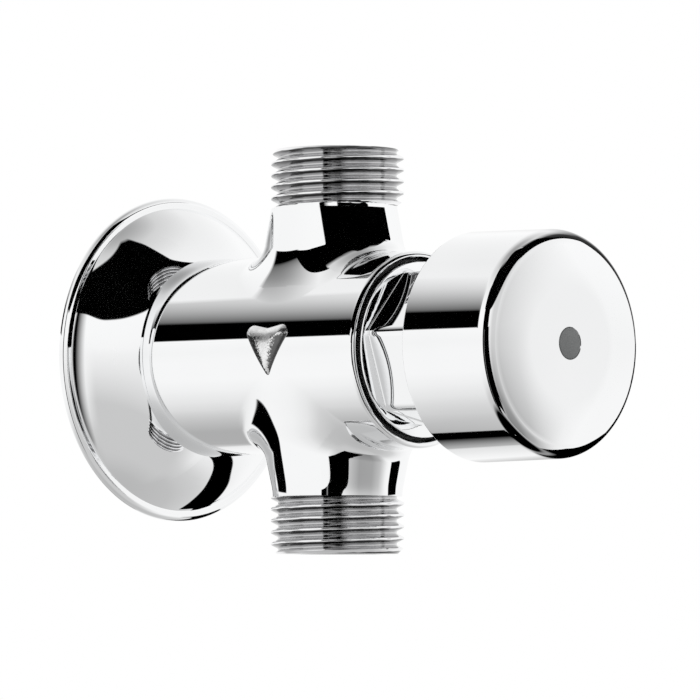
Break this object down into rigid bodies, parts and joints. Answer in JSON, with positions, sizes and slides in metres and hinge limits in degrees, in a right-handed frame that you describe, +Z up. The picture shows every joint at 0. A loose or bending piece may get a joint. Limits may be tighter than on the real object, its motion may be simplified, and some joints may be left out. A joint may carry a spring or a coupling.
{
  "type": "urinal flush valve",
  "caption": "Exposed self-closing push-button flush valve with threaded inlet on top, threaded outlet below and a round wall rose behind.",
  "frame": {"origin": "centre of the wall face: the point where the main axis meets the wall, at the mouth of the wall stud hole", "axes": "+Z up along the inlet port, +Y into the wall, button towards -Y"},
  "size_m": [0.052, 0.0852, 0.0635],
  "materials": {
    "polished_chrome": "polished chrome plating on brass",
    "brass": "machined brass",
    "stainless_steel": "machined stainless steel",
    "acetal": "moulded natural acetal",
    "black_rubber": "smooth moulded rubber",
    "grey_plastic": "satin moulded plastic"
  },
  "bodies": {
    "valve": {"valve_body": "polished_chrome", "wall_rose": "polished_chrome", "bonnet": "polished_chrome", "bonnet_seal": "black_rubber", "cartridge_body": "acetal", "cartridge_seal": "black_rubber", "seat_ring": "stainless_steel", "gland_seal": "black_rubber", "gland_bush": "acetal", "timing_needle": "stainless_steel", "return_spring": "stainless_steel"},
    "plunger": {"spindle": "brass", "holder_nut": "stainless_steel", "valve_holder": "brass", "valve_washer": "black_rubber", "piston": "acetal", "lip_seal": "black_rubber", "piston_nut": "stainless_steel", "push_button": "polished_chrome", "button_lock_screw": "stainless_steel", "button_plug": "grey_plastic"}
  },
  "joints": [
    {"name": "button_press", "type": "slide", "parent": "valve", "child": "plunger", "axis": [0, 1, 0], "range_m": [0, 0.007], "stiffness_N_per_m": 1500, "deforming": ["return_spring"]}
  ]
}
